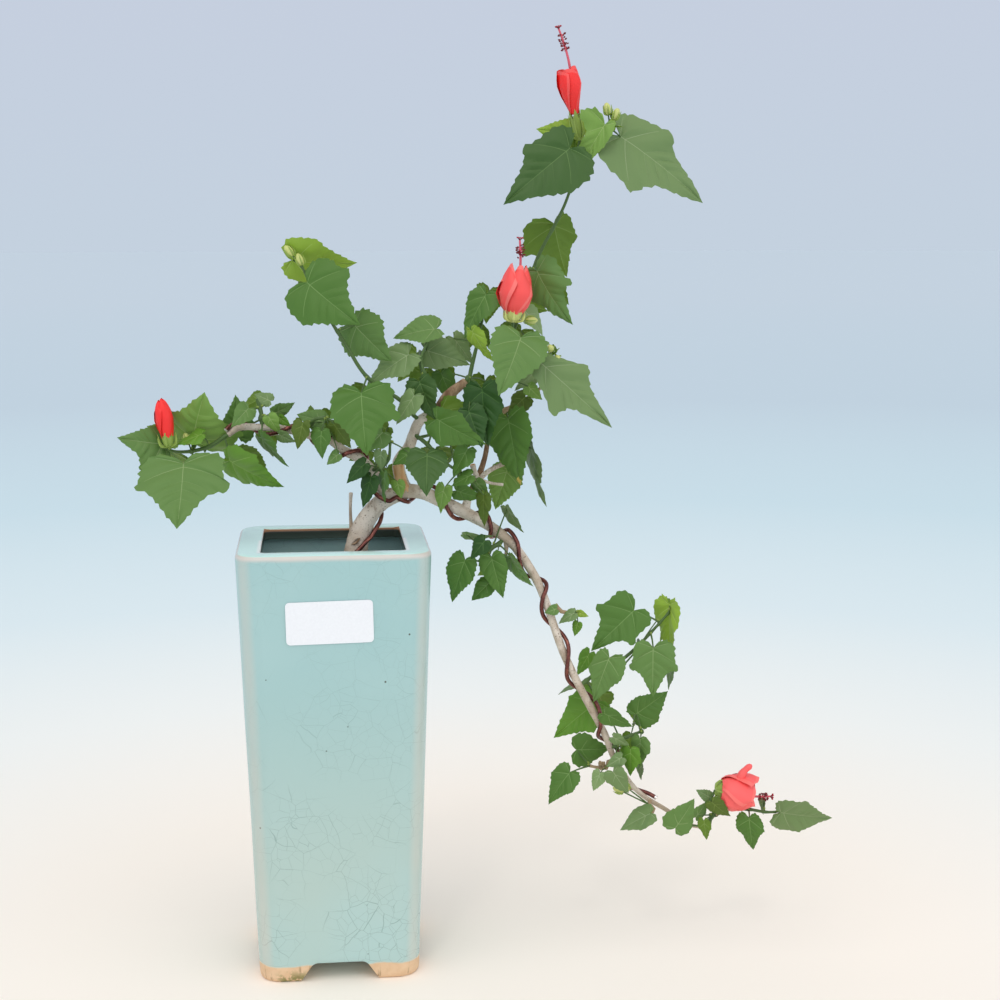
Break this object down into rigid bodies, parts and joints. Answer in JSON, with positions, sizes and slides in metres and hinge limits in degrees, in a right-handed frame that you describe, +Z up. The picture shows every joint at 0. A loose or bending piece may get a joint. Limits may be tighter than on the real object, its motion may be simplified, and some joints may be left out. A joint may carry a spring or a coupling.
{
  "type": "flowering bonsai in a pot",
  "caption": "Flowering shrub trained as a cascading bonsai: leaning trunk, thin wired boughs with loose leaf sprays and red turban flowers, in a tall square glazed pot on corner feet.",
  "frame": {"origin": "middle of the whole plant's bounding box, on the floor under the pot's feet", "axes": "+Z up, +X to the right along the cascade as the pot's labelled front is faced, +Y away from the front"},
  "size_m": [0.427, 0.1204, 0.5574],
  "materials": {
    "glaze": "celadon glaze with fine crackle, bare clay feet",
    "earth": "dark granular soil",
    "paper": "blank matt sticker",
    "bark": "pale speckled bark",
    "wire": "copper brown anodised training wire",
    "foliage": "soft green leaves, red flowers"
  },
  "bodies": {
    "root": {"pot": "glaze", "soil": "earth", "label": "paper", "trunk": "bark", "cascade_bough_upper": "bark", "cascade_bough_lower": "bark", "crown_bough": "bark", "left_bough": "bark", "top_bough": "bark", "wire_trunk": "wire", "wire_boughs": "wire", "top_foliage": "foliage", "centre_flower_spray": "foliage", "crown_right_foliage": "foliage", "crown_foliage": "foliage", "crown_left_foliage": "foliage", "upper_left_foliage": "foliage", "crown_low_foliage": "foliage", "inner_left_foliage": "foliage", "left_middle_foliage": "foliage", "left_top_foliage": "foliage", "left_end_foliage": "foliage", "cascade_inner_foliage": "foliage", "cascade_mid_foliage": "foliage", "cascade_side_foliage": "foliage", "cascade_low_left_foliage": "foliage", "cascade_low_right_foliage": "foliage", "cascade_under_foliage": "foliage", "cascade_tip_foliage": "foliage"}
  },
  "joints": []
}
